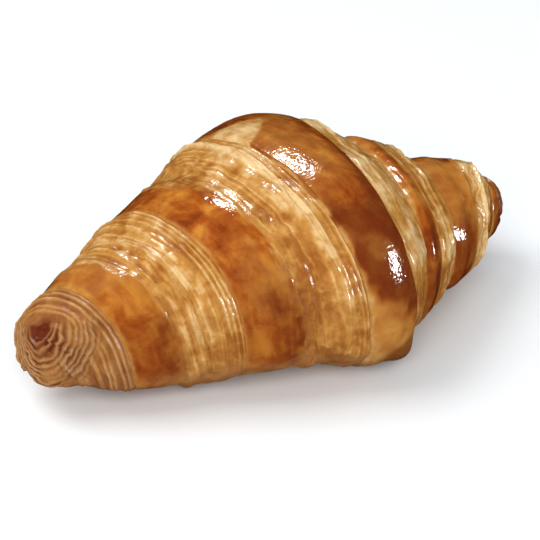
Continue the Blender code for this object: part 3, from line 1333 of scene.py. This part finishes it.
@dataclass
class CentreFlap:
    """The visible end of the dough, a broad washed band over the belly. Millimetres.

    Its foot flares out on the right side, where it met the tray. The brush left its left edge bare on the
    far side of the top, given at turns. Heights are given in pairs, from where a change begins to where it is
    complete: the wash thins down the left, the right of the foot darkens, and the base is evenly brown.
    """

    roll: Roll
    name: str = "centre_flap"
    columns: int = 300
    rows: int = 44
    seed: int = 400
    length: float = 150.0
    crown: float = 0.35
    lift: float = 0.25
    lip: float = 0.9
    lip_drop: float = 1.3
    overlap: float = 0.35
    wave: float = 0.35
    wave_mm: float = 9.0
    foot_at: float = math.radians(-40.0)
    foot_spread: float = math.radians(15.0)
    foot_out: float = 2.0
    foot_aside: float = 0.9
    bare_turns: tuple[float, ...] = (0.535, 0.555, 0.58, 0.61)
    bare: tuple[float, ...] = (0.0, 5.0, 8.0, 0.0)
    thin_heights: tuple[float, float] = (25.5, 18.0)
    foot_heights: tuple[float, float] = (9.5, 6.0)
    base_heights: tuple[float, float] = (7.0, 1.0)
    dark_limit: float = 0.85

    def edges(self, turn: Array) -> tuple[Array, Array]:
        """Finds the flap's wavy edges, which overlap the first wraps.

        Args:
            turn: How far round the roll.

        Returns:
            X of the left edge and of the right one.
        """
        roll = self.roll
        path = np.stack([turn * self.length, np.zeros_like(turn), np.zeros_like(turn)], axis=-1)
        free = smoothstep(0.0, 0.1, turn)
        waves = [self.wave * drift(path, self.wave_mm, self.seed + k, 2) * free for k in range(2)]
        left = roll.edge_x(Side.LEFT, turn) - self.overlap + waves[0]
        return left, roll.edge_x(Side.RIGHT, turn) + self.overlap + waves[1]

    def shape(self) -> Skin:
        """Makes the macro form: a crowned band with rounded edges and a flared foot.

        Returns:
            The form, as a closed skin.
        """
        roll = self.roll
        turns = np.arange(self.columns + 1) / self.columns
        turn, across = np.meshgrid(turns, np.linspace(-1.0, 1.0, 2 * self.rows + 1), indexing="ij")
        share = 0.5 + 0.5 * np.sign(across) * (1.0 - (1.0 - np.abs(across)) ** 1.5)
        left, right = self.edges(turn)
        width = right - left
        from_left, from_right = share * width, (1.0 - share) * width
        near = np.clip(np.minimum(from_left, from_right) / self.lip, 0.0, 1.0)
        rounded = np.sqrt(np.clip(1.0 - (1.0 - near) ** 2, 0.0, 1.0))
        angle = roll.angle(turn)
        foot = np.exp(-(((angle - self.foot_at) / self.foot_spread) ** 2)) * smoothstep(0.45, 1.0, share)
        dome = self.crown * (1.0 - (2.0 * share - 1.0) ** 2)
        relief = roll.puff + dome + self.lift - (1.0 - rounded) * self.lip_drop + self.foot_out * foot
        x = left + width * share + self.foot_aside * foot
        points = roll.place(x, angle, relief * roll.unpressed(x, angle))
        skin = self.sewn(points)
        measures = {"turn": turn, "share": share, "from_left": from_left, "from_right": from_right}
        skin.values = {key: np.append(value.ravel(), 0.0) for key, value in measures.items()}
        return skin

    def sewn(self, points: Array) -> Skin:
        """Closes the band with a point deep inside the roll.

        Args:
            points: The band's points, shape (turns, rows, 3).

        Returns:
            The closed skin.
        """
        many, rows = points.shape[:2]
        number = np.arange(many * rows).reshape(many, rows)
        quads = np.stack([number[:-1, :-1], number[:-1, 1:], number[1:, 1:], number[1:, :-1]], axis=-1)
        closed = np.concatenate([points.reshape(-1, 3), self.roll.heart()[None, :]])
        skin = Skin(closed, quads.reshape(-1, 4))
        sides = (number[0, :], number[1:, -1], number[-1, -2::-1], number[-2:0:-1, 0])
        rim = [int(k) for k in np.concatenate(sides)]
        skin.caps = [(b, a, many * rows) for a, b in zip(rim, rim[1:] + rim[:1])]
        return skin

    def crust_values(self, skin: Skin, grain: Array) -> dict[str, Array]:
        """Works out what the crust's finish reads.

        Args:
            skin: The form.
            grain: Its fine unevenness.

        Returns:
            Values on the points, by name.
        """
        v, points, normals = skin.values, skin.points, skin.normals()
        height, backward, upward = points[:, 2], normals[:, 1], normals[:, 2]
        noise = drift(points, 3.0, self.seed + 7, 3)
        bared = np.interp(v["turn"], self.bare_turns, self.bare)
        brown = smoothstep(0.0, 1.2, v["from_left"] + 0.6 * noise - bared)
        brown = brown * (1.0 - 0.25 * smoothstep(0.1, 0.5, drift(points, 6.0, self.seed + 10, 4)))
        thin = smoothstep(*self.thin_heights, height + 2.5 * noise + 0.94 * v["from_left"])
        # painted light: less brown where the crust faces straight up. thin is the wash thinning lower down
        # and towards the left edge
        brown = brown * (1.0 - 0.52 * thin) * (1.0 - 0.25 * smoothstep(0.93, 0.99, upward))
        # painted shade: darker where the crust turns from the top to the sides and down, except on faces
        # turned to the back
        turned_away_shade = 1.15 * smoothstep(0.985, 0.8, upward) * smoothstep(0.5, 0.0, backward) - 0.1
        patches = drift(points + 2.0 * grain[:, None], 8.0, self.seed + 9, 4)
        at_edge = smoothstep(4.0, 0.2, v["from_right"])
        dark = np.clip(turned_away_shade + 0.5 * patches + 0.3 * at_edge, 0.0, self.dark_limit)
        foot = 0.6 * smoothstep(*self.foot_heights, height + 1.5 * noise) * smoothstep(0.25, 0.6, v["share"])
        low = height + 2.0 * drift(points, 6.0, self.seed + 8, 2)
        return {
            "wrap": np.stack([v["turn"] * self.length, v["from_left"], np.zeros(len(points))], axis=-1),
            "brown": brown,
            "base": smoothstep(*self.base_heights, low) * 0.8,
            "dark": dark * brown * (1.0 - 0.9 * thin) + foot,
            "layer": 0.5 + 0.3 * noise + 0.2 * grain,
        }

    def build(self, material: bpy.types.Material) -> bpy.types.Object:
        """Builds the flap as a closed piece.

        Args:
            material: Its finish.

        Returns:
            The new object.
        """
        skin = self.shape()
        points, height = skin.points, skin.points[:, 2]
        lumps = drift(points, 9.0, self.seed + 5, 2)
        grain = drift(points, 2.0, self.seed + 6, 3)
        values = self.crust_values(skin, grain)
        near_edge = np.minimum(skin.values["from_left"], skin.values["from_right"])
        relief = (0.2 * lumps + 0.05 * grain) * smoothstep(0.2, 1.2, near_edge)
        skin.swell(relief * smoothstep(0.3, 2.0, height), hem_noise(points, height, self.seed))
        skin.values = values
        return skin.make(self.name, material)


@dataclass(frozen=True)
class SoftBox:
    """A soft box that faces the croissant.

    Attributes:
        name: Its name.
        toward: Where it stands, along the camera's right, up and back.
        size: Its width and height in metres.
        power: Its power in watts.
        sheen: Whether it only shows in glossy surfaces, or else only lights the matte ones.
    """

    name: str
    toward: tuple[float, float, float]
    size: tuple[float, float]
    power: float
    sheen: bool = False


@dataclass(frozen=True)
class Studio:
    """A white floor, soft lights and the camera. Millimetres, apart from the lights and the floor in metres.

    The camera looks from the front and above, with the slim tip nearer. It stands as far off, and the
    croissant lies as far from the middle of the picture, as the photograph's perspective shows.
    """

    azimuth: float = -30.4
    elevation: float = 33.13
    distance: float = 436.1
    focal_px: float = 5.95 * 436.1
    image_px: float = 540.0
    aim_height: float = 17.0
    off_centre_px: tuple[float, float] = (6.9, 25.1)
    sensor: float = 36.0
    floor_reach: float = 6.0
    paper: str = "#f2f5f5"
    paper_roughness: float = 0.9
    surround: str = "#f4f8ff"
    surround_strength: float = 0.52
    box_distance: float = 0.9
    boxes: tuple[SoftBox, ...] = (
        SoftBox("key", (-0.5, 0.72, 0.5), (0.55, 0.55), 4.1),
        SoftBox("fill", (0.0, 0.1, 0.9), (0.7, 0.5), 4.8),
        SoftBox("top", (-0.12, 0.95, -0.05), (0.2, 0.12), 8.5, sheen=True),
        SoftBox("side", (0.96, 0.07, 0.22), (0.17, 0.3), 15.0, sheen=True),
    )

    def axes(self) -> tuple[Vector, Vector, Vector]:
        """Works out how the camera is turned.

        Returns:
            Its right, up and back directions.
        """
        a, e = math.radians(self.azimuth), math.radians(self.elevation)
        back = Vector((math.sin(a) * math.cos(e), -math.cos(a) * math.cos(e), math.sin(e)))
        right = Vector((math.cos(a), math.sin(a), 0.0))
        return right, back.cross(right), back

    def camera(self, centre_x: float) -> bpy.types.Object:
        """Adds the camera.

        Args:
            centre_x: X of the point it is aimed from.

        Returns:
            The new camera.
        """
        right, up, back = self.axes()
        scale = self.distance / self.focal_px
        spot = Vector((centre_x, 0.0, self.aim_height)) + back * self.distance
        spot = spot - right * (self.off_centre_px[0] * scale) - up * (self.off_centre_px[1] * scale)
        data = bpy.data.cameras.new("camera")
        data.sensor_width = self.sensor
        data.lens = self.focal_px / self.image_px * self.sensor
        data.clip_start, data.clip_end = 0.01, 20.0
        camera = bpy.data.objects.new("camera", data)
        turn = Matrix((right, up, back)).transposed().to_4x4()
        camera.matrix_world = Matrix.Translation(spot * MM) @ turn
        bpy.context.scene.collection.objects.link(camera)
        bpy.context.scene.camera = camera
        return camera

    def floor(self) -> bpy.types.Object:
        """Adds the floor: matte white paper, which takes a soft shadow and gives no reflection.

        Returns:
            The new floor.
        """
        paper = bpy.data.materials.new("white_paper")
        paper.use_nodes = True
        shader = paper.node_tree.nodes["Principled BSDF"]
        shader.inputs["Base Color"].default_value = linear(self.paper)
        shader.inputs["Roughness"].default_value = self.paper_roughness
        reach = self.floor_reach
        corners = [(-reach, -reach, 0), (reach, -reach, 0), (reach, reach, 0), (-reach, reach, 0)]
        mesh = bpy.data.meshes.new("floor")
        mesh.from_pydata(corners, [], [(0, 1, 2, 3)])
        mesh.materials.append(paper)
        floor = bpy.data.objects.new("floor", mesh)
        floor.visible_glossy = False
        bpy.context.scene.collection.objects.link(floor)
        return floor

    def lamp(self, box: SoftBox) -> bpy.types.Object:
        """Adds one soft box.

        Args:
            box: What it is like.

        Returns:
            The new lamp.
        """
        direction = sum((axis * share for axis, share in zip(self.axes(), box.toward)), Vector())
        data = bpy.data.lights.new(box.name, "AREA")
        data.shape = "RECTANGLE"
        data.size, data.size_y = box.size
        data.energy = box.power
        lamp = bpy.data.objects.new(box.name, data)
        lamp.location = direction.normalized() * self.box_distance
        lamp.rotation_mode = "QUATERNION"
        lamp.rotation_quaternion = direction.to_track_quat("Z", "Y")
        lamp.visible_diffuse = not box.sheen
        lamp.visible_glossy = box.sheen
        bpy.context.scene.collection.objects.link(lamp)
        return lamp

    def sky(self) -> bpy.types.World:
        """Adds the white surround, and keeps the colours as they are, with no film curve.

        Returns:
            The new world.
        """
        world = bpy.data.worlds.new("surround")
        world.use_nodes = True
        shader = world.node_tree.nodes["Background"]
        shader.inputs["Color"].default_value = linear(self.surround)
        shader.inputs["Strength"].default_value = self.surround_strength
        bpy.context.scene.world = world
        world.cycles_visibility.glossy = False
        bpy.context.scene.view_settings.view_transform = "Standard"
        return world

    def build(self, centre_x: float) -> None:
        """Sets up the whole studio.

        Args:
            centre_x: X of the point the camera is aimed from.
        """
        self.floor()
        self.camera(centre_x)
        for box in self.boxes:
            self.lamp(box)
        self.sky()


def main() -> None:
    """Builds the croissant, piece by piece, and the studio round it."""
    logging.basicConfig(level=logging.INFO, format="%(name)s: %(message)s")
    roll = Roll()
    crust = BakedCrust().make()
    for part in (CentreFlap(roll), LeftWraps(roll), RightWraps(roll)):
        piece = part.build(crust)
        log.info("%s: %d points", piece.name, len(piece.data.vertices))
    Studio().build(float(roll.shift()[0]))


if __name__ == "__main__":
    main()
